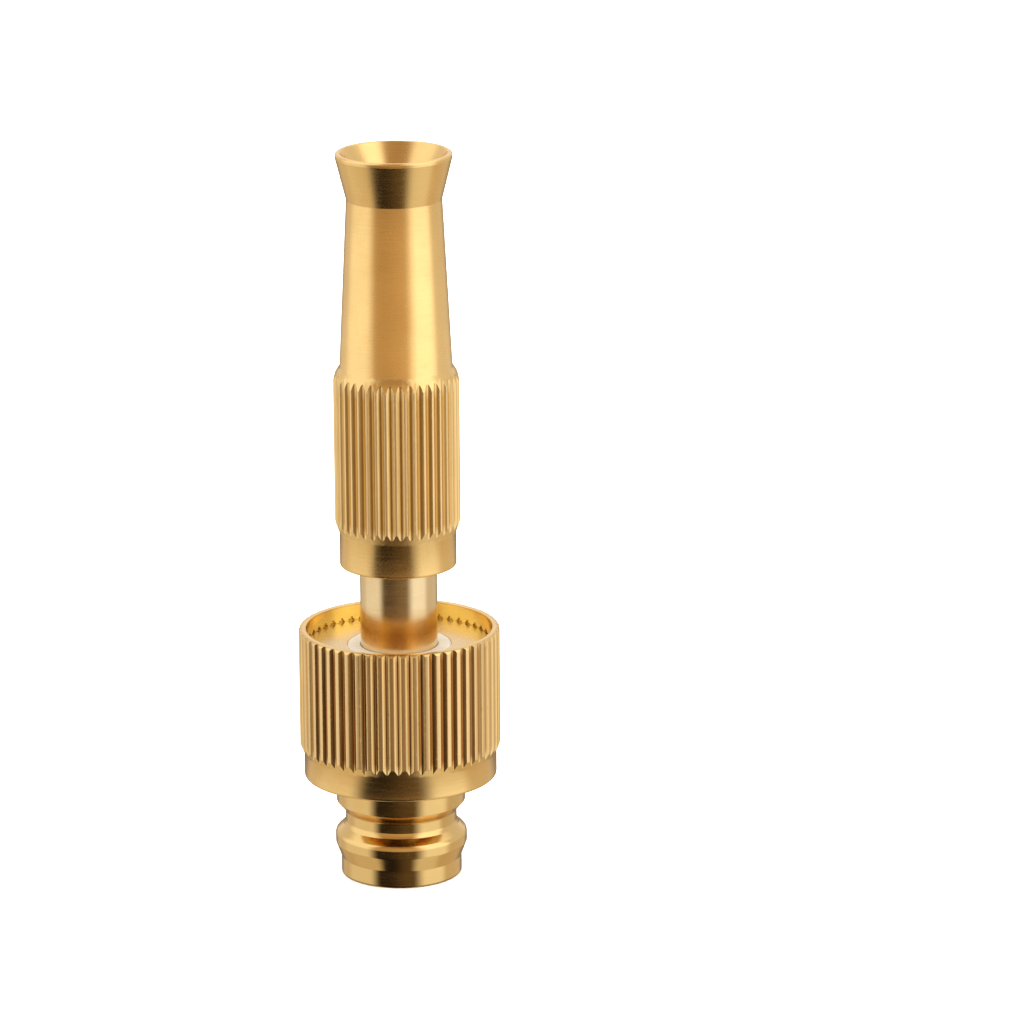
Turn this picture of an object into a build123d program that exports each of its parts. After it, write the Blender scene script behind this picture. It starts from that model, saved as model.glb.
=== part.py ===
from build123d import *
import math
import os

# Brass twist spray nozzle with its hose union.
# Millimetres, +Z up. Every piece is turned about the Z axis, and the hose end stands on z = 0.
# The barrel is drawn screwed right down, shut. Turned anticlockwise seen from its mouth, it climbs
# the stem and opens. The union nut is drawn tight, and climbs the stem in the same way when undone.

# Hose tail
NOSE_R = 10.07
NOSE_TOP = 2.9
BARB_R = 11.0
BARB_LOW = 5.35
BARB_TOP = 7.2
NECK_R = 9.3
NECK_LOW = 9.1
NECK_TOP = 11.0
COLLAR_R = 10.75
COLLAR_LOW = 12.6
HEAD_LOW = 18.3
HEAD_TOP = 31.3
HEAD_R = 13.2
INLET_R = 6.2
SOCKET_R = 8.1
SOCKET_FLOOR = 22.4

# Union thread, cut on the tail's head
UNION_CREST_R = 14.0
UNION_PITCH = 1.5
UNION_LOW = 19.0
UNION_TOP = 26.4

# Union nut
NUT_LOW = 17.1
NUT_TOP = 42.5
NUT_BAND_R = 16.06
NUT_BAND_TOP = 21.2
NUT_FLUTE_LOW = 22.7
NUT_CREST_R = 16.72
NUT_ROOT_R = 16.3
NUT_FLUTES = 54
NUT_CREST_FLAT = 0.5
NUT_BORE_R = 14.2
CUP_R = 15.47

# Disc staked into the cup, and the bush in its middle
DISC_LOW = 36.6
DISC_TOP = 39.64
STAKES = 50
STAKE_HEIGHT = 0.7
STAKE_DEPTH = 0.27
BUSH_R = 8.64
BUSH_FOOT_R = 7.6
BUSH_FOOT_TOP = 37.4

# Swivel body, screwed on the stem's foot
SPIGOT_R = 8.03
SPIGOT_LOW = 23.6
FLANGE_R = 13.2
FLANGE_LOW = 31.4
FLANGE_TOP = 35.3
SHANK_R = 6.0
SHANK_FLOOR = 30.4
GASKET_THICK = 0.6

# Stem
STEM_R = 6.4
STEM_BORE_R = 4.2
LAND_R = 7.2
LAND_LOW = 62.2
LAND_TOP = 69.4
SPRAY_CREST_R = 6.3
SPRAY_ROOT_R = 5.6
SPRAY_PITCH = 2.0
SPRAY_LOW = 71.4
SPRAY_TOP = 82.9
PORT_WALL_R = 5.2
PORT_R = 1.6
PORT_Z = 86.0
PORTS = 4
BOSS_LOW = 88.4
BOSS_TOP = 92.4
BOSS_R = 4.4

# Pintle
PINTLE_SHANK_R = 1.9
PINTLE_HEX = 6.0
PINTLE_HEX_TOP = 94.0
PINTLE_R = 2.2
HEAD_FLANGE_R = 4.6
HEAD_FLANGE_LOW = 103.8
SEAL_GROOVE_LOW = 105.75
SEAL_GROOVE_TOP = 107.75
SEAL_GROOVE_R = 2.86
TIP_R = 2.0
TIP_TOP = 115.0

# Barrel
SKIRT_LOW = 53.4
SKIRT_R = 9.66
GRIP_LOW = 59.1
GRIP_FLUTE_LOW = 61.0
GRIP_FLUTE_TOP = 84.8
GRIP_TOP = 87.25
GRIP_CREST_R = 10.38
GRIP_ROOT_R = 10.0
GRIP_FLUTES = 40
GRIP_CREST_FLAT = 0.25
GRIP_SHOULDER = ((10.22, 85.5), (10.0, 86.15), (9.64, 86.75))
TAPER_FOOT_R = 9.28
WAIST_R = 7.85
WAIST_Z = 115.1
RIM_R = 9.58
RIM_LIP = 0.75
RIM_Z = 122.8
RIM_ROUND = ((9.58, 122.5), (9.5, 122.7), (9.3, 122.8))
MOUTH_R = 8.8
THROAT_R = 2.6
THROAT_LOW = 109.9
THROAT_TOP = 113.0
CHAMBER_R = 5.8
CHAMBER_TOP = 105.9
BARREL_BORE_R = 7.3
BARREL_BORE_TOP = 70.9
SPRAY_BORE_R = 6.45
SPRAY_BORE_TOP = 85.4

# Retaining ring and its groove in the barrel
RING_LOW = 55.05
RING_TOP = 56.15
RING_BORE_R = 6.6
RING_R = 8.05
RING_GAP = 3.0

# Seals
O_RING_CORD_R = 0.8
STEM_O_RING_R = 6.44
STEM_GROOVES = (63.2, 66.4)
SPIGOT_O_RING_R = 7.18
SPIGOT_GROOVES = (24.7, 27.8)
GROOVE_WIDTH = 2.0
STEM_GROOVE_R = 5.6
SPIGOT_GROOVE_R = 6.34
PINTLE_SEAL_R = 3.8
PINTLE_SEAL_CORD_R = 0.9

# Strainer
STRAINER_R = 5.0
STRAINER_WALL = 0.4
STRAINER_LOW = 16.0
STRAINER_RIM_R = 7.9
STRAINER_RIM = 0.5
STRAINER_HOLE_R = 0.45
STRAINER_ROWS = 4
STRAINER_HOLES = 14

# Clearances
RUNNING = 0.05
EDGE = 0.3


def turned(outline):
    """The solid swept by a closed (radius, height) outline about Z."""
    corners = [(r, 0, z) for r, z in outline]
    return revolve(make_face(Polyline(*corners, close=True)), Axis.Z)


def ring(inner_r, outer_r, low, high):
    return turned([(inner_r, low), (outer_r, low), (outer_r, high), (inner_r, high)])


def o_ring(centre_r, cord_r, z):
    return Pos(0, 0, z) * Torus(centre_r, cord_r)


def toothed(crest_r, root_r, teeth, crest_flat, root_flat=0.05):
    """Polygon with straight teeth: a flat on each crest, and a narrow flat at each root."""
    corners = []
    for tooth in range(teeth):
        crest_angle = 2 * math.pi * tooth / teeth
        root_angle = crest_angle + math.pi / teeth
        for radius, angle, flat in (
            (crest_r, crest_angle, crest_flat),
            (root_r, root_angle, root_flat),
        ):
            for side in (-1, 1):
                turn = angle + side * flat / 2 / radius
                corners.append((radius * math.cos(turn), radius * math.sin(turn)))
    return Polygon(*corners, align=None)


def fluted(body, crest_r, root_r, teeth, crest_flat, low, high):
    """Cut V flutes along Z into the outside of a turned body."""
    around = Circle(crest_r + 2) - toothed(crest_r, root_r, teeth, crest_flat)
    return body - Pos(0, 0, low) * extrude(around, high - low)


def male_thread(core, root_r, crest_r, pitch, low, high):
    """Wind a right-hand thread round a core, from low to high."""
    depth = crest_r - root_r
    path = Helix(pitch, high - low + 2 * pitch, root_r, center=(0, 0, low - pitch))
    section = Plane(origin=path @ 0, x_dir=(1, 0, 0), z_dir=(0, -1, 0)) * Polygon(
        (-0.05, -0.4 * pitch),
        (depth, -0.11 * pitch),
        (depth, 0.11 * pitch),
        (-0.05, 0.4 * pitch),
        align=None,
    )
    ridge = sweep(section, path, is_frenet=True)
    limits = Pos(0, 0, low) * extrude(Circle(crest_r + 1), high - low)
    return core + (ridge & limits)


def hose_tail():
    outline = [
        (INLET_R + EDGE, 0),
        (NOSE_R - EDGE, 0),
        (NOSE_R, EDGE),
        (NOSE_R, NOSE_TOP),
        (BARB_R - 0.03, BARB_LOW),
        (BARB_R, BARB_TOP),
        (NECK_R, NECK_LOW),
        (NECK_R, NECK_TOP),
        (COLLAR_R, COLLAR_LOW),
        (COLLAR_R, HEAD_LOW),
        (HEAD_R - EDGE, HEAD_LOW),
        (HEAD_R, HEAD_LOW + EDGE),
        (HEAD_R, HEAD_TOP - EDGE),
        (HEAD_R - EDGE, HEAD_TOP),
        (SOCKET_R + EDGE, HEAD_TOP),
        (SOCKET_R, HEAD_TOP - EDGE),
        (SOCKET_R, SOCKET_FLOOR),
        (INLET_R, SOCKET_FLOOR),
        (INLET_R, EDGE),
    ]
    core = turned(outline)
    return male_thread(core, HEAD_R, UNION_CREST_R, UNION_PITCH, UNION_LOW, UNION_TOP)


def strainer():
    inside_r = STRAINER_R - STRAINER_WALL
    rim_top = SOCKET_FLOOR + STRAINER_RIM
    thimble = turned([
        (0, STRAINER_LOW),
        (STRAINER_R - EDGE, STRAINER_LOW),
        (STRAINER_R, STRAINER_LOW + EDGE),
        (STRAINER_R, SOCKET_FLOOR),
        (STRAINER_RIM_R, SOCKET_FLOOR),
        (STRAINER_RIM_R, rim_top),
        (inside_r, rim_top),
        (inside_r, STRAINER_LOW + STRAINER_WALL),
        (0, STRAINER_LOW + STRAINER_WALL),
    ])
    row_step = (SOCKET_FLOOR - STRAINER_LOW - 1.6) / (STRAINER_ROWS - 1)
    drill = Rot(0, 90, 0) * Cylinder(
        STRAINER_HOLE_R, 2, align=(Align.CENTER, Align.CENTER, Align.CENTER)
    )
    holes = []
    for row in range(STRAINER_ROWS):
        z = STRAINER_LOW + 1.1 + row * row_step
        for place in range(STRAINER_HOLES):
            angle = 360 * (place + 0.5 * (row % 2)) / STRAINER_HOLES
            holes.append(Rot(0, 0, angle) * Pos(STRAINER_R, 0, z) * drill)
    for hole_circle_r, count in ((0, 1), (1.5, 6), (3.0, 12)):
        for place in range(count):
            at = Rot(0, 0, 360 * place / count) * Pos(hole_circle_r, 0, STRAINER_LOW)
            holes.append(at * Cylinder(STRAINER_HOLE_R, 2))
    return thimble - holes


def swivel_body():
    outline = [
        (STEM_BORE_R, SPIGOT_LOW),
        (SPIGOT_R - EDGE, SPIGOT_LOW),
        (SPIGOT_R, SPIGOT_LOW + EDGE),
    ]
    for groove in SPIGOT_GROOVES:
        outline += [
            (SPIGOT_R, groove),
            (SPIGOT_GROOVE_R, groove),
            (SPIGOT_GROOVE_R, groove + GROOVE_WIDTH),
            (SPIGOT_R, groove + GROOVE_WIDTH),
        ]
    outline += [
        (SPIGOT_R, FLANGE_LOW),
        (FLANGE_R - EDGE, FLANGE_LOW),
        (FLANGE_R, FLANGE_LOW + EDGE),
        (FLANGE_R, FLANGE_TOP - EDGE),
        (FLANGE_R - EDGE, FLANGE_TOP),
        (SHANK_R, FLANGE_TOP),
        (SHANK_R, SHANK_FLOOR),
        (STEM_BORE_R, SHANK_FLOOR),
    ]
    return turned(outline)


def stem():
    shank_r = SHANK_R - RUNNING
    outline = [
        (STEM_BORE_R, SHANK_FLOOR + GASKET_THICK),
        (shank_r - EDGE, SHANK_FLOOR + GASKET_THICK),
        (shank_r, SHANK_FLOOR + GASKET_THICK + EDGE),
        (shank_r, FLANGE_TOP),
        (STEM_R, FLANGE_TOP),
        (STEM_R, LAND_LOW),
        (LAND_R, LAND_LOW),
    ]
    for groove in STEM_GROOVES:
        outline += [
            (LAND_R, groove),
            (STEM_GROOVE_R, groove),
            (STEM_GROOVE_R, groove + GROOVE_WIDTH),
            (LAND_R, groove + GROOVE_WIDTH),
        ]
    outline += [
        (LAND_R, LAND_TOP),
        (SPRAY_ROOT_R - 0.1, LAND_TOP),
        (SPRAY_ROOT_R - 0.1, SPRAY_LOW - 0.5),
        (SPRAY_ROOT_R, SPRAY_LOW - 0.5),
        (SPRAY_ROOT_R, SPRAY_TOP),
        (PORT_WALL_R, SPRAY_TOP),
        (PORT_WALL_R, BOSS_LOW),
        (BOSS_R, BOSS_LOW + 0.8),
        (BOSS_R, BOSS_TOP - EDGE),
        (BOSS_R - EDGE, BOSS_TOP),
        (PINTLE_SHANK_R, BOSS_TOP),
        (PINTLE_SHANK_R, BOSS_LOW),
        (STEM_BORE_R, BOSS_LOW),
    ]
    body = male_thread(
        turned(outline), SPRAY_ROOT_R, SPRAY_CREST_R, SPRAY_PITCH, SPRAY_LOW, SPRAY_TOP
    )
    drill = Rot(0, 90, 0) * Cylinder(
        PORT_R, PORT_WALL_R + 1, align=(Align.CENTER, Align.CENTER, Align.MIN)
    )
    return body - [
        Pos(0, 0, PORT_Z) * Rot(0, 0, 360 * port / PORTS) * drill for port in range(PORTS)
    ]


def pintle():
    shank_r = PINTLE_SHANK_R - 0.02
    needle = turned([
        (0, BOSS_LOW),
        (shank_r - EDGE, BOSS_LOW),
        (shank_r, BOSS_LOW + EDGE),
        (shank_r, BOSS_TOP + 0.5),
        (PINTLE_R, BOSS_TOP + 0.5),
        (PINTLE_R, HEAD_FLANGE_LOW),
        (HEAD_FLANGE_R - EDGE, HEAD_FLANGE_LOW),
        (HEAD_FLANGE_R, HEAD_FLANGE_LOW + EDGE),
        (HEAD_FLANGE_R, SEAL_GROOVE_LOW),
        (SEAL_GROOVE_R, SEAL_GROOVE_LOW),
        (SEAL_GROOVE_R, SEAL_GROOVE_TOP),
        (SEAL_GROOVE_R + 0.44, SEAL_GROOVE_TOP),
        (TIP_R, SEAL_GROOVE_TOP + 1.65),
        (TIP_R, TIP_TOP - 3),
        (TIP_R - 0.8, TIP_TOP - EDGE),
        (TIP_R - 0.8 - EDGE, TIP_TOP),
        (0, TIP_TOP),
    ])
    hexagon = RegularPolygon(PINTLE_HEX / 2, 6, major_radius=False)
    return needle + Pos(0, 0, BOSS_TOP) * extrude(hexagon, PINTLE_HEX_TOP - BOSS_TOP)


def spray_barrel():
    outline = [
        (BARREL_BORE_R + EDGE, SKIRT_LOW),
        (SKIRT_R - EDGE, SKIRT_LOW),
        (SKIRT_R, SKIRT_LOW + EDGE),
        (SKIRT_R, GRIP_LOW),
        (GRIP_CREST_R, GRIP_FLUTE_LOW),
        (GRIP_CREST_R, GRIP_FLUTE_TOP),
        *GRIP_SHOULDER,
        (TAPER_FOOT_R, GRIP_TOP),
        (WAIST_R, WAIST_Z),
        (RIM_R, RIM_Z - RIM_LIP),
        *RIM_ROUND,
        (MOUTH_R + 0.15, RIM_Z),
        (MOUTH_R, RIM_Z - 0.1),
        (THROAT_R, THROAT_TOP),
        (THROAT_R, THROAT_LOW),
        (CHAMBER_R, CHAMBER_TOP),
        (CHAMBER_R, SPRAY_BORE_TOP),
        (SPRAY_BORE_R, SPRAY_BORE_TOP),
        (SPRAY_BORE_R, BARREL_BORE_TOP),
        (BARREL_BORE_R, BARREL_BORE_TOP),
        (BARREL_BORE_R, RING_TOP + RUNNING),
        (RING_R + 0.1, RING_TOP + RUNNING),
        (RING_R + 0.1, RING_LOW - RUNNING),
        (BARREL_BORE_R, RING_LOW - RUNNING),
        (BARREL_BORE_R, SKIRT_LOW + EDGE),
    ]
    return fluted(
        turned(outline), GRIP_CREST_R, GRIP_ROOT_R, GRIP_FLUTES, GRIP_CREST_FLAT,
        GRIP_LOW, GRIP_TOP,
    )


def retaining_ring():
    whole = ring(RING_BORE_R, RING_R, RING_LOW, RING_TOP)
    slot = Pos(RING_R, 0, (RING_LOW + RING_TOP) / 2) * Box(2 * RING_R, RING_GAP, 2)
    return whole - slot


def union_nut():
    lead_in = NUT_BORE_R + 0.6
    outline = [
        (lead_in, NUT_LOW),
        (NUT_BAND_R - 0.5, NUT_LOW),
        (NUT_BAND_R - 0.15, NUT_LOW + 0.15),
        (NUT_BAND_R, NUT_LOW + 0.5),
        (NUT_BAND_R, NUT_BAND_TOP),
        (NUT_CREST_R, NUT_FLUTE_LOW),
        (NUT_CREST_R, NUT_TOP - 0.4),
        (NUT_CREST_R - 0.3, NUT_TOP),
        (CUP_R + 0.1, NUT_TOP),
        (CUP_R, NUT_TOP - 0.1),
        (CUP_R, DISC_LOW),
        (NUT_BORE_R, DISC_LOW),
        (NUT_BORE_R, NUT_LOW + 0.6),
    ]
    nut = fluted(
        turned(outline), NUT_CREST_R, NUT_ROOT_R, NUT_FLUTES, NUT_CREST_FLAT, NUT_BAND_TOP, NUT_TOP
    )
    dents = toothed(CUP_R + STAKE_DEPTH, CUP_R - STAKE_DEPTH, STAKES, 0.1, 0.1)
    return nut - Pos(0, 0, DISC_TOP) * extrude(dents, STAKE_HEIGHT)


def nut_end_disc():
    disc_r = CUP_R - RUNNING
    return turned([
        (BUSH_FOOT_R, DISC_LOW),
        (disc_r - EDGE, DISC_LOW),
        (disc_r, DISC_LOW + EDGE),
        (disc_r, DISC_TOP - 0.1),
        (disc_r - 0.1, DISC_TOP),
        (BUSH_R, DISC_TOP),
        (BUSH_R, BUSH_FOOT_TOP),
        (BUSH_FOOT_R, BUSH_FOOT_TOP),
    ])


def stem_bush():
    bore_r = STEM_R + RUNNING
    return turned([
        (bore_r, DISC_LOW + 0.1),
        (BUSH_FOOT_R - RUNNING, DISC_LOW + 0.1),
        (BUSH_FOOT_R - RUNNING, BUSH_FOOT_TOP),
        (BUSH_R - 0.04, BUSH_FOOT_TOP),
        (BUSH_R - 0.04, DISC_TOP),
        (bore_r, DISC_TOP),
    ])


def groove_middle(groove):
    return groove + GROOVE_WIDTH / 2


seal_z = (SEAL_GROOVE_LOW + SEAL_GROOVE_TOP) / 2
gasket_low = SOCKET_FLOOR + STRAINER_RIM
pieces = {
    "hose_tail": hose_tail(),
    "strainer": strainer(),
    "strainer_gasket": ring(STRAINER_R, STRAINER_RIM_R, gasket_low, gasket_low + GASKET_THICK),
    "swivel_body": swivel_body(),
    "swivel_o_ring_lower": o_ring(SPIGOT_O_RING_R, O_RING_CORD_R, groove_middle(SPIGOT_GROOVES[0])),
    "swivel_o_ring_upper": o_ring(SPIGOT_O_RING_R, O_RING_CORD_R, groove_middle(SPIGOT_GROOVES[1])),
    "stem_gasket": ring(
        STEM_BORE_R + 0.1, SHANK_R - RUNNING, SHANK_FLOOR, SHANK_FLOOR + GASKET_THICK
    ),
    "stem": stem(),
    "stem_o_ring_lower": o_ring(STEM_O_RING_R, O_RING_CORD_R, groove_middle(STEM_GROOVES[0])),
    "stem_o_ring_upper": o_ring(STEM_O_RING_R, O_RING_CORD_R, groove_middle(STEM_GROOVES[1])),
    "pintle": pintle(),
    "pintle_seal": o_ring(PINTLE_SEAL_R, PINTLE_SEAL_CORD_R, seal_z),
    "retaining_ring": retaining_ring(),
    "spray_barrel": spray_barrel(),
    "thrust_washer": ring(
        STEM_R + 0.1, NUT_BORE_R - 0.15, FLANGE_TOP + RUNNING, DISC_LOW - RUNNING
    ),
    "union_nut": union_nut(),
    "nut_end_disc": nut_end_disc(),
    "stem_bush": stem_bush(),
}

os.makedirs("parts", exist_ok=True)
for name, piece in pieces.items():
    export_step(piece, f"parts/{name}.step")
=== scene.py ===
import math

import bmesh
import bpy
from mathutils import Matrix, Vector


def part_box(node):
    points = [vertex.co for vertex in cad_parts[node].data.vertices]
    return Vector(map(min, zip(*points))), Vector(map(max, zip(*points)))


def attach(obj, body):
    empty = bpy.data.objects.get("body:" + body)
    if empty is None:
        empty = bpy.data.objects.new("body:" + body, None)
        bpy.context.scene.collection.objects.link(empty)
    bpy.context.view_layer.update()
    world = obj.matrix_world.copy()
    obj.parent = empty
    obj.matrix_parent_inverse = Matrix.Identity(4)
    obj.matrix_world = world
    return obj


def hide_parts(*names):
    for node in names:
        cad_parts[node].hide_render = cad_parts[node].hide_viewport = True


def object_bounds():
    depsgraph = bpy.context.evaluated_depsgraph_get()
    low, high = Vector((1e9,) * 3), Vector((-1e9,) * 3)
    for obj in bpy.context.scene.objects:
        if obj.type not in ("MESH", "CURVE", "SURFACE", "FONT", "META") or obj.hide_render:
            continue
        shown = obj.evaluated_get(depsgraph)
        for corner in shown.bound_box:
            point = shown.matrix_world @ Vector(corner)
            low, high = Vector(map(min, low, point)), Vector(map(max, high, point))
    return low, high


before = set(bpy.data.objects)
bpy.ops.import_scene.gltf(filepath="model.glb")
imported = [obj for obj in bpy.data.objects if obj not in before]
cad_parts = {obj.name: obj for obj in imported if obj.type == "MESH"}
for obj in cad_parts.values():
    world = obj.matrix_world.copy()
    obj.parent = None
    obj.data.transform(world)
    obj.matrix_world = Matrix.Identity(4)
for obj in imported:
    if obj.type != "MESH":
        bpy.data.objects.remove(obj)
cad_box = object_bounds()

MM = 0.001

# ---------------------------------------------------------------- outlines
# An outline is a list of corners (radius, height, rounding), in millimetres, from which a piece is
# turned about Z. The radii and heights follow the CAD model's, with its corners eased.


def rounded(corners, closed=False):
    """The outline's points, with a curve at each rounded corner and a support point beside it."""
    steps, furthest_support = 4, 0.08
    count = len(corners)
    points = []
    for place, (r, z, rounding) in enumerate(corners):
        at_end = not closed and place in (0, count - 1)
        here = Vector((r, z))
        if at_end or rounding <= 0:
            points.append(here)
            continue
        before = Vector(corners[place - 1][:2]) - here
        after = Vector(corners[(place + 1) % count][:2]) - here
        half = before.angle(after) / 2
        reach = min(rounding / math.tan(half), 0.4 * before.length, 0.4 * after.length)
        support = min(furthest_support, 0.08 * min(before.length, after.length))
        first = here + before.normalized() * reach
        last = here + after.normalized() * reach
        points.append(first + before.normalized() * support)
        for step in range(steps + 1):
            share = step / steps
            points.append(
                first * (1 - share) ** 2 + here * 2 * share * (1 - share) + last * share ** 2
            )
        points.append(last + after.normalized() * support)
    return [(p.x, p.y) for p in points]


def evenly(count):
    """This many angles spread evenly round the axis."""
    return [2 * math.pi * place / count for place in range(count)]


def add_grid(mesh, rows, angles, material=0):
    """Rings joined by quads that have the piece's material of that number.

    A row is one (radius, height), or a list with one for each angle.
    """
    rings = []
    for row in rows:
        pairs = row if isinstance(row, list) else [row] * len(angles)
        rings.append([
            mesh.verts.new((r * MM * math.cos(a), r * MM * math.sin(a), z * MM))
            for (r, z), a in zip(pairs, angles)
        ])
    for low, high in zip(rings, rings[1:]):
        for here in range(len(angles)):
            there = (here + 1) % len(angles)
            face = mesh.faces.new((low[here], low[there], high[there], high[here]))
            face.material_index = material
    return rings


def stitch(mesh, first, second):
    """Join two rings that have different numbers of vertices."""
    def angles(ring_verts):
        return [math.atan2(v.co.y, v.co.x) % (2 * math.pi) for v in ring_verts]

    def in_order(ring_verts):
        order = sorted(zip(angles(ring_verts), range(len(ring_verts))))
        return [ring_verts[place] for _, place in order], [angle for angle, _ in order]

    a, a_angles = in_order(first)
    b, b_angles = in_order(second)
    i = j = 0
    while i < len(a) or j < len(b):
        next_a = a_angles[i + 1] if i + 1 < len(a) else a_angles[0] + 2 * math.pi
        next_b = b_angles[j + 1] if j + 1 < len(b) else b_angles[0] + 2 * math.pi
        if j >= len(b) or (i < len(a) and next_a <= next_b):
            mesh.faces.new((a[i % len(a)], a[(i + 1) % len(a)], b[j % len(b)]))
            i += 1
        else:
            mesh.faces.new((a[i % len(a)], b[(j + 1) % len(b)], b[j % len(b)]))
            j += 1


def finished(name, mesh, materials, body, nodes):
    """Turn the mesh into a piece that stands for its CAD nodes."""
    sharp_from = math.radians(38)
    bmesh.ops.remove_doubles(mesh, verts=mesh.verts, dist=1e-7)
    bmesh.ops.recalc_face_normals(mesh, faces=mesh.faces)
    data = bpy.data.meshes.new(name)
    mesh.to_mesh(data)
    mesh.free()
    data.polygons.foreach_set("use_smooth", [True] * len(data.polygons))
    data.set_sharp_from_angle(angle=sharp_from)
    for material in materials:
        data.materials.append(material)
    piece = bpy.data.objects.new(name, data)
    bpy.context.scene.collection.objects.link(piece)
    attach(piece, body)
    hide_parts(*nodes)


# ---------------------------------------------------------------- flutes and threads


def flute_columns(teeth, crest_r, root_r, crest_flat, hollow):
    """The angle and radius of each column round a fluted piece, with the crests' edges eased.

    hollow is 0 for straight flanks and 1 for flutes that are round at the root.
    """
    half_crest = crest_flat / 2 / crest_r
    half_pitch = math.pi / teeth
    root_flat = 0.04 / root_r
    flank = half_pitch - root_flat - half_crest
    depth = crest_r - root_r

    def on_flank(share):
        straight, round_root = share, math.sin(share * math.pi / 2)
        sunk = straight * (1 - hollow) + round_root * hollow
        return half_crest + flank * share, crest_r - depth * sunk

    crest = [(0.0, crest_r), (0.55 * half_crest, crest_r), (half_crest, crest_r - 0.02 * depth)]
    half = crest + [on_flank(share) for share in (0.07, 0.2, 0.5, 0.75, 0.93)]
    one = [(-a, r) for a, r in reversed(half[1:])] + half + [(half_pitch, root_r)]
    pitch = 2 * half_pitch
    return [(tooth * pitch + a, r) for tooth in range(teeth) for a, r in one]


def thread_rows(mesh, root_r, crest_r, pitch, low, high, count):
    """A right-hand thread whose rows climb one pitch in each turn, held between low and high."""
    run_out = 0.35
    ridge = (
        (0.0, 0.0), (0.1, 0.0), (0.13, 0.06), (0.36, 0.94), (0.39, 1.0),
        (0.5, 1.0), (0.61, 1.0), (0.64, 0.94), (0.87, 0.06), (0.9, 0.0),
    )
    per_turn = len(ridge)
    turns = math.ceil((high - low) / pitch) + 2
    columns = []
    for angle in evenly(count):
        column = []
        for row in range(turns * per_turn):
            share, height = ridge[row % per_turn]
            climb = row // per_turn - 1 + share + angle / (2 * math.pi)
            z = min(max(low + pitch * climb, low), high)
            fade = min(1.0, (z - low) / run_out, (high - z) / run_out)
            r = root_r + (crest_r - root_r) * height * max(fade, 0.0)
            column.append(mesh.verts.new((
                r * MM * math.cos(angle), r * MM * math.sin(angle), z * MM
            )))
        columns.append(column)
    for place, column in enumerate(columns):
        lift = per_turn if place + 1 == count else 0
        beside = columns[(place + 1) % count]
        for row in range(turns * per_turn - 1 - lift):
            mesh.faces.new((
                column[row], beside[row + lift], beside[row + lift + 1], column[row + 1]
            ))


# ---------------------------------------------------------------- materials


class Nodes:
    """A node tree, with short calls for the nodes that the finishes and the studio use."""

    def __init__(self, tree):
        self.nodes = tree.nodes
        self.links = tree.links

    def fill(self, sockets, values):
        """Link each value that is another node's socket, and set each value that isn't."""
        for key, value in values.items():
            if isinstance(value, bpy.types.NodeSocket):
                self.links.new(value, sockets[key])
            else:
                sockets[key].default_value = value

    def node(self, kind, inputs=None, **settings):
        made = self.nodes.new("ShaderNode" + kind)
        for key, value in settings.items():
            setattr(made, key, value)
        self.fill(made.inputs, inputs or {})
        return made

    def math(self, operation, first, second=0.0, third=0.0):
        inputs = {0: first, 1: second, 2: third}
        return self.node("Math", inputs, operation=operation).outputs[0]

    def remap(self, value, low, high, to_low, to_high, smooth=False):
        inputs = {"Value": value, 1: low, 2: high, 3: to_low, 4: to_high}
        kind = "SMOOTHSTEP" if smooth else "LINEAR"
        made = self.node("MapRange", inputs, interpolation_type=kind, clamp=True)
        return made.outputs["Result"]

    def mix(self, share, first, second):
        """The first colour where the share is 0, and the second where it is 1."""
        inputs = {0: share, 6: opaque(first), 7: opaque(second)}
        return self.node("Mix", inputs, data_type="RGBA").outputs[2]


class Shader(Nodes):
    """A material with one Principled surface."""

    def __init__(self, name):
        self.material = bpy.data.materials.new(name)
        self.material.use_nodes = True
        super().__init__(self.material.node_tree)
        self.surface = self.nodes["Principled BSDF"]
        self.place = self.node("TexCoord").outputs["Object"]

    def split(self):
        """The place's X, Y and Z, and its distance from the axis."""
        x, y, z = self.node("SeparateXYZ", {0: self.place}).outputs
        flat = self.node("CombineXYZ", {0: x, 1: y}).outputs[0]
        radius = self.node("VectorMath", {0: flat}, operation="LENGTH").outputs["Value"]
        return x, y, z, radius

    def stretched(self, x, y, across, along_scale, across_scale):
        """Coordinates in which a noise is drawn out into long marks."""
        along_x = self.math("MULTIPLY", x, along_scale)
        along_y = self.math("MULTIPLY", y, along_scale)
        fine = self.math("MULTIPLY", across, across_scale)
        return self.node("CombineXYZ", {0: along_x, 1: along_y, 2: fine}).outputs[0]

    def noise(self, vector, scale=1.0, detail=2.0, rough=0.5):
        inputs = {"Vector": vector, "Scale": scale, "Detail": detail, "Roughness": rough}
        return self.node("TexNoise", inputs).outputs["Fac"]

    def bump(self, height, distance, below=None):
        """A bump on the plain surface, or on top of another bump."""
        inputs = {"Height": height, "Distance": distance, "Strength": 1.0}
        if below is not None:
            inputs["Normal"] = below
        return self.node("Bump", inputs).outputs["Normal"]

    def turning(self):
        """The direction round the axis."""
        return self.node("Tangent", direction_type="RADIAL", axis="Z").outputs["Tangent"]

    def put(self, **sockets):
        """Fill the surface's sockets, whose names are written here with underscores."""
        values = {key.replace("_", " "): value for key, value in sockets.items()}
        self.fill(self.surface.inputs, values)


def opaque(colour):
    """A plain colour with an alpha of 1. A node's socket is passed on as it is."""
    return colour if isinstance(colour, bpy.types.NodeSocket) else (*colour, 1.0)


def shade(colour, factor):
    """The colour made lighter or darker."""
    return tuple(min(1.0, channel * factor) for channel in colour)


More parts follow.
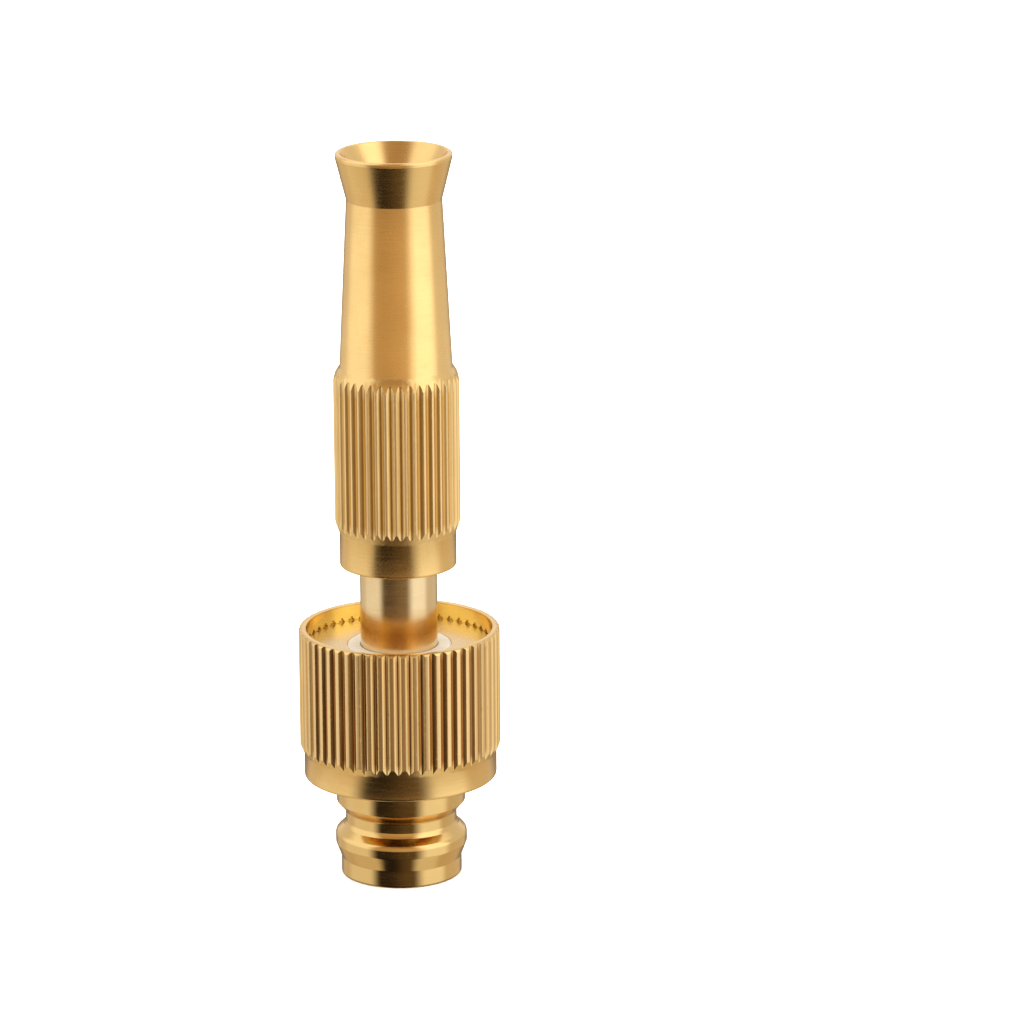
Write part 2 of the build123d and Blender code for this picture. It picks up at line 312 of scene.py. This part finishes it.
def turned_brass(name, colour, rough=0.24, anisotropy=0.4, groove=1.0, painted_shade=None):
    """Brass off the lathe: fine marks round the axis, with faint blotches, grain and dust.

    The optional (radius, height), in millimetres, adds painted shade: metal farther out and lower
    turns dark brown.
    """
    look = Shader(name)
    x, y, z, radius = look.split()
    across = look.math("MULTIPLY_ADD", radius, 0.9, z)
    coarse = look.noise(look.stretched(x, y, across, 260, 3200), detail=2, rough=0.5)
    fine = look.noise(look.stretched(x, y, across, 500, 12000), detail=2, rough=0.6)
    blotch = look.noise(look.place, scale=140, detail=3)
    grain = look.noise(look.place, scale=5200, detail=2, rough=0.7)
    dust = look.remap(look.noise(look.place, scale=1700, detail=1), 0.79, 0.84, 0.0, 1.0)
    smear = look.remap(look.noise(look.place, scale=260, detail=4, rough=0.65), 0.52, 0.75, 0.0, 0.5)

    tone = look.mix(look.remap(blotch, 0.3, 0.7, 0.0, 1.0), shade(colour, 0.96), shade(colour, 1.04))
    marked = look.mix(look.remap(coarse, 0.35, 0.65, 0.0, 0.2 * groove), tone, shade(colour, 0.86))
    aged = look.mix(smear, marked, (colour[0] * 0.94, colour[1] * 0.88, colour[2] * 0.78))
    dusted_and_shaded = look.mix(look.math("MULTIPLY", dust, 0.3), aged, (0.95, 0.85, 0.66))
    # Painted shade: metal beyond the radius and below the height turns dark brown, for the shade in
    # recesses and at the foot.
    if painted_shade:
        painted_shade_r, painted_shade_top = painted_shade
        outward = look.remap(radius, (painted_shade_r + 0.02) * MM, (painted_shade_r + 0.2) * MM, 0.0, 0.5)
        low_down = look.remap(z, (painted_shade_top - 0.1) * MM, painted_shade_top * MM, 1.0, 0.0)
        dusted_and_shaded = look.mix(look.math("MULTIPLY", outward, low_down), dusted_and_shaded, (0.2, 0.09, 0.025))

    streaks = look.remap(coarse, 0.3, 0.7, rough - 0.03, rough + 0.03)
    grained = look.math("ADD", streaks, look.remap(grain, 0.35, 0.7, -0.02, 0.05))
    roughness = look.math("ADD", grained, look.math("MULTIPLY", dust, 0.15))
    lines = look.bump(coarse, 1.2e-6 * groove)
    lines = look.bump(fine, 0.6e-6 * groove, lines)
    grains = look.bump(grain, 0.8e-6 * groove, lines)
    look.put(
        Base_Color=dusted_and_shaded, Metallic=1.0, Roughness=roughness, Normal=grains,
        Anisotropic=anisotropy, Anisotropic_Rotation=0.25, Tangent=look.turning(),
    )
    return look.material


def fluted_brass(name, colour, root_shade_colour, crest_r, root_r, low, high, rough):
    """Knurled brass: marks drawn along the flutes, crests paled by wear and painted highlight, roots
    in painted shade.

    The roots turn to the painted shade colour between the heights low and high, which are in
    millimetres.
    """
    look = Shader(name)
    x, y, z, radius = look.split()
    drawn = look.noise(look.stretched(x, y, z, 3800, 130), detail=3, rough=0.6)
    blotch = look.noise(look.place, scale=170, detail=3)
    burr = look.noise(look.place, scale=1500, detail=2, rough=0.6)
    depth = look.remap(radius, root_r * MM, crest_r * MM, 0.0, 1.0)
    crest = look.remap(depth, 0.82, 0.97, 0.0, 1.0)
    outer_half = look.remap(depth, 0.55, 0.9, 0.0, 1.0)
    nick = look.math("MULTIPLY", look.remap(burr, 0.63, 0.74, 0.0, 1.0), outer_half)

    tone = look.mix(look.remap(blotch, 0.3, 0.7, 0.0, 1.0), shade(colour, 0.94), shade(colour, 1.05))
    lined = look.mix(look.remap(drawn, 0.35, 0.7, 0.0, 0.3), tone, shade(colour, 0.84))
    above = look.remap(z, (low - 0.4) * MM, (low + 1.0) * MM, 0.0, 1.0)
    below = look.remap(z, (high - 1.4) * MM, (high + 0.6) * MM, 1.0, 0.0)
    among_flutes = look.math("MULTIPLY", above, below)
    # Painted shade: between low and high, the flute roots darken towards the root colour.
    painted_root_shade = look.math("MULTIPLY", among_flutes, look.remap(depth, 0.05, 0.75, 0.9, 0.0))
    root_shaded = look.mix(painted_root_shade, lined, root_shade_colour)
    # The crests turn paler, partly as rubbed wear and partly as a painted highlight.
    pale = (colour[0] * 1.02, colour[1] * 1.1, colour[2] * 1.4)
    rubbed_and_highlit = look.mix(look.math("MULTIPLY", crest, 0.7), root_shaded, pale)
    streaks = look.remap(drawn, 0.3, 0.7, rough - 0.04, rough + 0.06)
    roughness = look.math("MULTIPLY_ADD", crest, 0.16, streaks)
    lines = look.bump(drawn, 2.0e-6)
    nicked = look.bump(nick, 1.6e-5, lines)
    look.put(
        Base_Color=rubbed_and_highlit, Metallic=1.0, Roughness=roughness, Normal=nicked,
        Anisotropic=0.3, Anisotropic_Rotation=0.25, Tangent=look.turning(),
    )
    return look.material


def nylon(name, colour):
    """Natural nylon with faint turning rings and handling dirt."""
    look = Shader(name)
    x, y, z, radius = look.split()
    across = look.math("MULTIPLY_ADD", radius, 0.9, z)
    rings = look.noise(look.stretched(x, y, across, 120, 3000), detail=2)
    blotch = look.noise(look.place, scale=300, detail=4, rough=0.6)
    tone = look.mix(look.remap(blotch, 0.4, 0.7, 0.0, 1.0), colour, shade(colour, 0.86))
    look.put(
        Base_Color=tone, Roughness=look.remap(rings, 0.3, 0.7, 0.4, 0.55),
        Normal=look.bump(rings, 3e-6), IOR=1.53, Subsurface_Weight=0.25, Subsurface_Scale=0.0006,
    )
    return look.material


def rubber(name):
    """Black rubber with a fine grain and a faint grey bloom."""
    look = Shader(name)
    grain = look.noise(look.place, scale=2500, detail=3)
    bloom = look.noise(look.place, scale=400, detail=3)
    bloomed = look.remap(bloom, 0.4, 0.7, 0.0, 1.0)
    tone = look.mix(bloomed, (0.018, 0.018, 0.019), (0.04, 0.04, 0.042))
    look.put(
        Base_Color=tone, Roughness=look.remap(grain, 0.3, 0.7, 0.45, 0.65),
        Normal=look.bump(grain, 4e-6),
    )
    return look.material


def steel(name, colour):
    """Rolled steel with drawn lines and a slight mottle."""
    look = Shader(name)
    x, y, z, _ = look.split()
    drawn = look.noise(look.stretched(x, y, z, 150, 6000), detail=3)
    blotch = look.noise(look.place, scale=500, detail=3)
    tone = look.mix(look.remap(blotch, 0.35, 0.7, 0.0, 1.0), shade(colour, 0.9), shade(colour, 1.08))
    look.put(
        Base_Color=tone, Metallic=1.0, Roughness=look.remap(drawn, 0.3, 0.7, 0.28, 0.42),
        Normal=look.bump(drawn, 2e-6),
    )
    return look.material


CUP_R = 15.47
STAKE_MARK_TOP = 40.0
# Painted shade runs round the nose's bottom edge, where it meets the floor.
NOSE_PAINTED_SHADE_R, NOSE_PAINTED_SHADE_TOP = 9.5, 0.4

GOLD = (0.86, 0.58, 0.24)
GRIP_GOLD = (0.9, 0.64, 0.29)
# The flute roots' colours are painted shade.
GRIP_ROOT_SHADE = (0.62, 0.34, 0.075)
NUT_ROOT_SHADE = (0.36, 0.14, 0.03)
PALE_GOLD = (0.84, 0.64, 0.37)
RICH_GOLD = (0.77, 0.52, 0.21)
# Painted reflection: the cup inside the nut is a brighter, deeper gold than its outside, standing
# for light bounced between its walls.
CUP_BOUNCE_GOLD = (0.98, 0.7, 0.17)
DISC_GOLD = (0.77, 0.58, 0.37)

spray_brass = turned_brass("spray_brass", GOLD, groove=0.2)
stem_brass = turned_brass("stem_brass", PALE_GOLD, rough=0.18)
nut_brass = turned_brass("nut_brass", GOLD, rough=0.21, groove=1.3)
# Painted shade darkens the cup's stake marks, and its gold is a painted bounce light.
cup_brass = turned_brass(
    "cup_brass", CUP_BOUNCE_GOLD, rough=0.14, groove=0.5, painted_shade=(CUP_R, STAKE_MARK_TOP)
)
disc_brass = turned_brass("disc_brass", DISC_GOLD, rough=0.27, anisotropy=0.5, groove=1.2)
# Painted shade darkens the nose's bottom edge, where it meets the floor.
tail_brass = turned_brass(
    "tail_brass", RICH_GOLD, rough=0.11, groove=0.4, painted_shade=(NOSE_PAINTED_SHADE_R, NOSE_PAINTED_SHADE_TOP)
)
inner_brass = turned_brass("inner_brass", GOLD, rough=0.42)
white_nylon = nylon("white_nylon", (0.5, 0.445, 0.35))
black_rubber = rubber("black_rubber")
spring_steel = steel("spring_steel", (0.5, 0.5, 0.52))
strainer_steel = steel("strainer_steel", (0.6, 0.6, 0.61))


# ---------------------------------------------------------------- pieces


def ends(node):
    """A CAD node's lowest and highest Z, in millimetres."""
    low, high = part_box(node)
    return low.z / MM, high.z / MM


def on_outline(outline, r):
    """The point at radius r on an outline whose radius only grows, or only shrinks."""
    for start, end in zip(outline, outline[1:]):
        low, high = sorted((start[0], end[0]))
        if low <= r <= high and high > low:
            share = (r - start[0]) / (end[0] - start[0])
            return r, start[1] + share * (end[1] - start[1])
    return outline[0] if abs(r - outline[0][0]) < abs(r - outline[-1][0]) else outline[-1]


def along(outline, share):
    """The point at this share of an outline's length."""
    points = [Vector(point) for point in outline]
    lengths = [(b - a).length for a, b in zip(points, points[1:])]
    left = share * sum(lengths)
    for start, end, length in zip(points, points[1:], lengths):
        if left <= length or end is points[-1]:
            return tuple(start + (end - start) * min(1.0, left / length))
        left -= length


def up_to(outline, r):
    """The part of an outline that comes before its point at radius r, with that point."""
    stop = on_outline(outline, r)
    growing = outline[-1][0] > outline[0][0]
    before = [point for point in outline if (point[0] < r if growing else point[0] > r)]
    return before + [stop]


def fluted_walls(flutes, foot, head):
    """Rows of a fluted zone. Its columns climb the foot's outline, run up, and join the head's."""
    steps = (0.05, 0.25, 4.0)
    columns = []
    for _, r in flutes:
        below = up_to(foot, r)
        above = list(reversed(up_to(list(reversed(head)), r)))
        low_z, high_z = below[-1][1], above[0][1]
        column = [along(below, share) for share in (0, 0.3, 0.6, 0.8, 0.93, 1)]
        column += [(r, low_z + step) for step in steps]
        column += [(r, high_z - step) for step in reversed(steps)]
        column += [along(above, share) for share in (0, 0.07, 0.2, 0.4, 0.6, 0.8, 1)]
        columns.append(column)
    return [list(row) for row in zip(*columns)]


def spray_barrel():
    """Outside: skirt, fluted grip, taper and flared mouth. Inside: bore, thread bore and throat."""
    low, top = ends("spray_barrel")
    seam_r, skirt_r, crest_r, root_r, crest_flat = 8.4, 9.66, 10.38, 10.0, 0.36
    foot_z, flutes_from, flutes_to, matt_below = 59.1, 61.0, 84.8, 85.4
    taper_r, taper_z, waist_r, waist_z, rim_r, lip_r = 9.28, 87.25, 7.85, 115.1, 9.58, 8.95
    bore_r, thread_bore_r, chamber_r, throat_r = 7.3, 6.45, 5.8, 2.6
    thread_low, thread_top, chamber_top, throat_low, throat_top = 70.9, 85.4, 105.9, 109.9, 113.0
    groove_r, groove_low, groove_top = 8.15, 55.0, 56.2
    teeth, bore_count = 40, 144
    flutes = flute_columns(teeth, crest_r, root_r, crest_flat, hollow=1.0)
    angles = [angle for angle, _ in flutes]
    mesh = bmesh.new()

    skirt = rounded([(seam_r, low, 0), (skirt_r, low, 0.35), (skirt_r, foot_z, 0)])
    outside = add_grid(mesh, skirt, angles)
    foot = [(skirt_r, foot_z), (skirt_r + 0.04, foot_z + 0.06), (crest_r, flutes_from)]
    shoulder = [
        (crest_r, flutes_to), (10.22, 85.5), (10.0, 86.15), (9.64, 86.75), (9.43, 87.05),
        (taper_r, taper_z),
    ]
    add_grid(mesh, fluted_walls(flutes, foot, shoulder), angles, material=1)
    for face in mesh.faces:
        if face.calc_center_median().z > matt_below * MM:
            face.material_index = 0
    upper = rounded([
        (taper_r, taper_z, 0),
        (waist_r, waist_z, 0.12),
        (rim_r, top - 0.75, 0.2),
        (rim_r, top - 0.25, 0.2),
        (9.32, top, 0.25),
        (lip_r, top, 0),
    ])
    rim = add_grid(mesh, upper, angles)

    bore = rounded([
        (lip_r - 0.02, top, 0),
        (8.78, top - 0.08, 0.2),
        (throat_r, throat_top, 0.3),
        (throat_r, throat_low, 0.15),
        (chamber_r, chamber_top, 0.2),
        (chamber_r, thread_top, 0.15),
        (thread_bore_r, thread_top, 0.15),
        (thread_bore_r, thread_low, 0.1),
        (bore_r, thread_low, 0.1),
        (bore_r, groove_top, 0.05),
        (groove_r, groove_top, 0.05),
        (groove_r, groove_low, 0.05),
        (bore_r, groove_low, 0.05),
        (bore_r, low, 0.3),
        (seam_r - 0.1, low, 0),
    ])
    inside = add_grid(mesh, bore, evenly(bore_count))
    stitch(mesh, rim[-1], inside[0])
    stitch(mesh, outside[0], inside[-1])
    # The grip's flute roots are painted shade, and its crests are paled by wear and a painted
    # highlight.
    grip = fluted_brass(
        "grip_brass", GRIP_GOLD, GRIP_ROOT_SHADE, crest_r, root_r, flutes_from, flutes_to, rough=0.36
    )
    finished(
        "spray_barrel_turned", mesh, [spray_brass, grip], "barrel", ["spray_barrel"]
    )


def union_nut():
    """Outside: band and flutes. Inside: a cup whose wall has triangular stake marks, and a bore."""
    low, top = ends("union_nut")
    disc_top = ends("nut_end_disc")[1]
    band_r, crest_r, root_r, crest_flat = 16.06, 16.715, 16.3, 0.7
    foot_z, flutes_from, cup_r, bore_r, bore_top = 21.2, 22.7, CUP_R, 14.2, 36.6
    seam_r, lip_r, lip_low, wall_low = 15.0, 16.1, top - 0.3, disc_top + 1.2
    teeth, stakes, stake_height, stake_depth = 54, 50, 0.7, 0.25
    flutes = flute_columns(teeth, crest_r, root_r, crest_flat, hollow=0.35)
    angles = [angle for angle, _ in flutes]
    mesh = bmesh.new()

    band = rounded([(seam_r, low, 0), (band_r, low, 0.5), (band_r, foot_z, 0)])
    outside = add_grid(mesh, band, angles)
    foot = [(band_r, foot_z), (band_r + 0.03, foot_z + 0.07), (crest_r, flutes_from)]
    brim = [(crest_r, top - 0.4), (16.55, top - 0.1), (16.3, top - 0.01), (lip_r, top)]
    rim = add_grid(mesh, fluted_walls(flutes, foot, brim), angles, material=1)

    half_width = math.radians(2.2)
    shares = (-1.0, -0.72, -0.45, -0.2, 0.0, 0.2, 0.45, 0.72, 1.0)
    stake_angles = [
        2 * math.pi * stake / stakes + share * half_width
        for stake in range(stakes) for share in shares
    ]
    edge = rounded([(lip_r - 0.02, top, 0), (cup_r, top, 0.12), (cup_r, lip_low, 0)])
    lip = add_grid(mesh, edge, stake_angles)
    wall = [(cup_r, lip_low), (cup_r, wall_low)]
    for height in (1.05, 1.0, 0.8, 0.6, 0.4, 0.2, 0.06, 0.0, -0.04):
        z = disc_top + height * stake_height
        row = []
        for _ in range(stakes):
            for share in shares:
                inside_mark = abs(share) < 0.97 * (1 - height) + 0.01 and 0 <= height < 1
                row.append((cup_r + (stake_depth if inside_mark else 0.0), z))
        wall.append(row)
    wall += rounded([
        (cup_r, disc_top - 0.05, 0),
        (cup_r, bore_top, 0.1),
        (bore_r, bore_top, 0.1),
        (bore_r, low, 0.5),
        (seam_r - 0.05, low, 0),
    ])
    inside = add_grid(mesh, wall, stake_angles, material=2)
    stitch(mesh, rim[-1], lip[0])
    stitch(mesh, outside[0], inside[-1])
    # The knurl's flute roots are painted shade, and its crests are paled by wear and a painted
    # highlight.
    knurl = fluted_brass(
        "nut_knurl_brass", GOLD, NUT_ROOT_SHADE, crest_r, root_r, flutes_from, top, rough=0.2
    )
    finished(
        "union_nut_turned", mesh, [nut_brass, knurl, cup_brass], "nut", ["union_nut"]
    )


def plain_turned(name, corners, material, body, nodes):
    """A piece turned from one closed outline."""
    count = 192
    mesh = bmesh.new()
    outline = rounded(corners, closed=True)
    add_grid(mesh, outline + outline[:1], evenly(count))
    finished(name, mesh, [material], body, nodes)


def nut_end_disc():
    """A faced disc with a step in its hole for the bush."""
    low, top = ends("nut_end_disc")
    disc_r, hole_r, step_r, step_z = 15.42, 7.6, 8.64, 37.4
    corners = [
        (hole_r, low, 0.1), (disc_r, low, 0.3), (disc_r, top, 0.12),
        (step_r, top, 0.06), (step_r, step_z, 0.05), (hole_r, step_z, 0.05),
    ]
    plain_turned(
        "nut_end_disc_faced", corners, disc_brass, "nut", ["nut_end_disc"]
    )


def stem_bush():
    """A ring with a wider head, which rests on the disc's step."""
    low, top = ends("stem_bush")
    bore_r, foot_r, bush_r, step_z = 6.45, 7.55, 8.6, 37.4
    corners = [
        (bore_r, low, 0.1), (foot_r, low, 0.1), (foot_r, step_z, 0.05),
        (bush_r, step_z, 0.05), (bush_r, top, 0.16), (bore_r, top, 0.14),
    ]
    plain_turned(
        "stem_bush_moulded", corners, white_nylon, "nut", ["stem_bush"]
    )


def stem():
    """Plain rod, a land with two ring grooves, the barrel's thread, and a boss for the pintle."""
    low, top = ends("stem")
    stem_r, bore_r, land_r, relief_r, root_r, crest_r, pitch = 6.4, 4.2, 7.2, 5.5, 5.6, 6.3, 2.0
    foot_r, foot_top, middle = 5.95, 35.3, 40.0
    land_low, land_top, thread_low, thread_top = 62.2, 69.4, 71.4, 82.9
    groove_lows, groove_width = (63.2, 66.4), 2
    port_wall_r, boss_r, boss_low, shoulder_z, pintle_hole_r = 5.2, 4.4, 88.4, 89.2, 1.9
    count = 128
    mesh = bmesh.new()
    lower = [
        (bore_r, middle, 0), (bore_r, low, 0.1), (foot_r, low, 0.3), (foot_r, foot_top, 0.05),
        (stem_r, foot_top, 0.1), (stem_r, land_low, 0.1), (land_r, land_low, 0.15),
    ]
    for groove in groove_lows:
        lower += [
            (land_r, groove, 0.06), (root_r, groove, 0.06),
            (root_r, groove + groove_width, 0.06), (land_r, groove + groove_width, 0.06),
        ]
    lower += [
        (land_r, land_top, 0.15), (relief_r, land_top, 0.1),
        (root_r, thread_low - 0.5, 0.05), (root_r, thread_low, 0),
    ]
    upper = [
        (root_r, thread_top, 0), (port_wall_r, thread_top + 0.1, 0.05),
        (port_wall_r, boss_low, 0.1), (boss_r, shoulder_z, 0.1), (boss_r, top, 0.2),
        (pintle_hole_r, top, 0.1), (pintle_hole_r, boss_low, 0.05),
        (bore_r, boss_low, 0.1), (bore_r, middle, 0),
    ]
    add_grid(mesh, rounded(lower), evenly(count))
    thread_rows(mesh, root_r, crest_r, pitch, thread_low, thread_top, count)
    add_grid(mesh, rounded(upper), evenly(count))
    finished("stem_turned", mesh, [stem_brass], "stem", ["stem"])


def hose_tail():
    """Nose, barb, neck and collar, with the nut's thread and the swivel's socket above."""
    low, top = ends("hose_tail")
    nose_r, barb_r, neck_r, collar_r, head_r = 10.07, 11.0, 9.3, 10.75, 13.2
    inlet_r, socket_r, socket_floor = 6.2, 8.1, 22.4
    nose_top, barb_low, barb_top, neck_low, neck_top = 2.95, 5.4, 7.2, 9.1, 11.0
    collar_low, head_low, middle = 12.6, 18.3, low + 6
    thread_crest_r, pitch, thread_low, thread_top = 14.0, 1.5, 19.0, 26.4
    count = 192
    mesh = bmesh.new()
    outer = rounded([
        (inlet_r, middle, 0),
        (inlet_r, low, 0.3),
        (nose_r, low, 0.3),
        (nose_r, nose_top, 0.4),
        (barb_r, barb_low, 0.7),
        (barb_r, barb_top, 1.1),
        (neck_r + 0.35, 8.5, 0.8),
        (neck_r, neck_low, 0.9),
        (neck_r, neck_top, 0.5),
        (collar_r, collar_low, 0.2),
        (collar_r, head_low, 0.2),
        (head_r, head_low, 0.25),
        (head_r, thread_low, 0),
    ])
    inner = rounded([
        (head_r, thread_top, 0),
        (head_r, top, 0.3),
        (socket_r, top, 0.3),
        (socket_r, socket_floor, 0.1),
        (inlet_r, socket_floor, 0.1),
        (inlet_r, middle, 0),
    ])
    add_grid(mesh, outer, evenly(count))
    thread_rows(mesh, head_r, thread_crest_r, pitch, thread_low, thread_top, count)
    add_grid(mesh, inner, evenly(count))
    finished("hose_tail_turned", mesh, [tail_brass], "tail", ["hose_tail"])


spray_barrel()
union_nut()
nut_end_disc()
stem_bush()
stem()
hose_tail()

cad_finishes = {
    "strainer": strainer_steel,
    "retaining_ring": spring_steel,
    "thrust_washer": white_nylon,
    "swivel_body": inner_brass,
    "pintle": inner_brass,
    "strainer_gasket": black_rubber,
    "stem_gasket": black_rubber,
    "swivel_o_ring_lower": black_rubber,
    "swivel_o_ring_upper": black_rubber,
    "stem_o_ring_lower": black_rubber,
    "stem_o_ring_upper": black_rubber,
    "pintle_seal": black_rubber,
}
for node, material in cad_finishes.items():
    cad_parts[node].data.materials.clear()
    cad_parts[node].data.materials.append(material)


# ---------------------------------------------------------------- floor, light and camera

lowest, highest = cad_box
middle_z = (lowest.z + highest.z) / 2


def pale_floor():
    """A square of white paper, which the metal doesn't reflect."""
    half = 3.0
    mesh = bmesh.new()
    corners = ((-half, -half), (half, -half), (half, half), (-half, half))
    mesh.faces.new([mesh.verts.new((x, y, lowest.z)) for x, y in corners])
    data = bpy.data.meshes.new("floor")
    mesh.to_mesh(data)
    mesh.free()
    floor = bpy.data.objects.new("floor", data)
    bpy.context.scene.collection.objects.link(floor)
    paper = Shader("pale_paper")
    grain = paper.noise(paper.place, scale=900, detail=2)
    grained = paper.remap(grain, 0.3, 0.7, 0.0, 1.0)
    tone = paper.mix(grained, (0.93, 0.93, 0.93), (0.95, 0.95, 0.95))
    paper.put(Base_Color=tone, Roughness=0.9)
    data.materials.append(paper.material)
    floor.visible_glossy = False


def overhead_light():
    """A wide soft light straight above, which whitens the floor and makes no highlights."""
    height, size, power = 1.6, 3.0, 100
    light = bpy.data.lights.new("floor_light", "AREA")
    light.shape = "RECTANGLE"
    light.size, light.size_y = size, size
    light.energy = power
    lamp = bpy.data.objects.new("floor_light", light)
    bpy.context.scene.collection.objects.link(lamp)
    lamp.location = (0, 0, middle_z + height)
    lamp.visible_glossy = False


def studio_world():
    """A dim front between two bright sides, with pale paper beyond them.

    The back is dim low down, and a brown strip crosses the white overhead.
    """
    world = bpy.data.worlds.new("studio")
    bpy.context.scene.world = world
    world.use_nodes = True
    sky = Nodes(world.node_tree)
    x, y, z = sky.node("SeparateXYZ", {0: sky.node("TexCoord").outputs["Generated"]}).outputs
    azimuth = sky.math("DEGREES", sky.math("ARCTAN2", x, sky.math("MULTIPLY", y, -1.0)))
    elevation = sky.math("DEGREES", sky.math("ARCSINE", z))

    def blend(value, low, high, first, second):
        """The first colour up to low, the second from high on, and a smooth change between."""
        return sky.mix(sky.remap(value, low, high, 0.0, 1.0, smooth=True), first, second)

    def upwards(*stops):
        """A colour that changes with elevation, from (degrees, colour) stops, the lowest first."""
        below, colour = stops[0]
        for degrees, next_colour in stops[1:]:
            colour = blend(elevation, below, degrees, colour, next_colour)
            below = degrees
        return colour

    brown, pale, white = (0.46, 0.31, 0.18), (0.84, 0.8, 0.74), (1.3, 1.28, 1.2)
    paper = upwards(
        (-36, (0.66, 0.54, 0.36)), (-14, (0.74, 0.66, 0.54)), (4, pale), (30, pale), (48, white)
    )
    back = upwards(
        (-24, (0.3, 0.24, 0.17)), (-4, (0.42, 0.34, 0.25)), (8, (1.0, 0.96, 0.88)),
        (30, (1.0, 0.96, 0.88)), (48, white),
    )
    left = upwards((-38, (0.74, 0.65, 0.5)), (-16, (0.94, 0.91, 0.83)), (0, (1.26, 1.25, 1.2)))
    right = upwards((-38, (0.83, 0.78, 0.66)), (-16, (1.12, 1.12, 1.08)), (0, (1.6, 1.6, 1.55)))
    dim, tan = (0.6, 0.42, 0.235), (0.7, 0.5, 0.3)
    front_left = upwards((-16, (0.022, 0.017, 0.014)), (-8.5, dim), (30, dim), (48, brown))
    front_right = upwards((-17, (0.11, 0.075, 0.04)), (-8.5, tan), (30, tan), (48, brown))
    overhead = blend(sky.math("ABSOLUTE", x), 0.12, 0.34, brown, white)

    # Each edge is (azimuth, half its softness, the zone after it). The back lies on both ends.
    around = back
    for edge, soft, zone in (
        (-150, 12, paper), (-116, 12, left), (-52, 12, front_left),
        (-2, 24, front_right), (36, 14, right), (90, 9, paper), (150, 12, back),
    ):
        around = blend(azimuth, edge - soft, edge + soft, around, zone)
    sky.fill(sky.nodes["Background"].inputs, {"Color": blend(elevation, 66, 76, around, overhead)})


pale_floor()
studio_world()
overhead_light()

# The camera looks down at the nozzle from the front, with the nozzle left of the picture's middle.
LENS_MM = 193.4
DISTANCE = 0.9075
PITCH = math.radians(15.7)
ROLL = math.radians(-0.34)
AIM = Vector((0.01885, 0.0, 0.0621))

camera_data = bpy.data.cameras.new("camera")
camera_data.lens = LENS_MM
camera_data.sensor_width = 36.0
camera_data.clip_start, camera_data.clip_end = 0.05, 20.0
camera = bpy.data.objects.new("camera", camera_data)
bpy.context.scene.collection.objects.link(camera)
camera.location = AIM + DISTANCE * Vector((0, -math.cos(PITCH), math.sin(PITCH)))
level_turn = Matrix.Rotation(math.pi / 2 - PITCH, 4, "X")
camera.rotation_euler = (level_turn @ Matrix.Rotation(ROLL, 4, "Z")).to_euler()
bpy.context.scene.camera = camera
bpy.context.scene.view_settings.view_transform = "Standard"

bpy.context.view_layer.update()
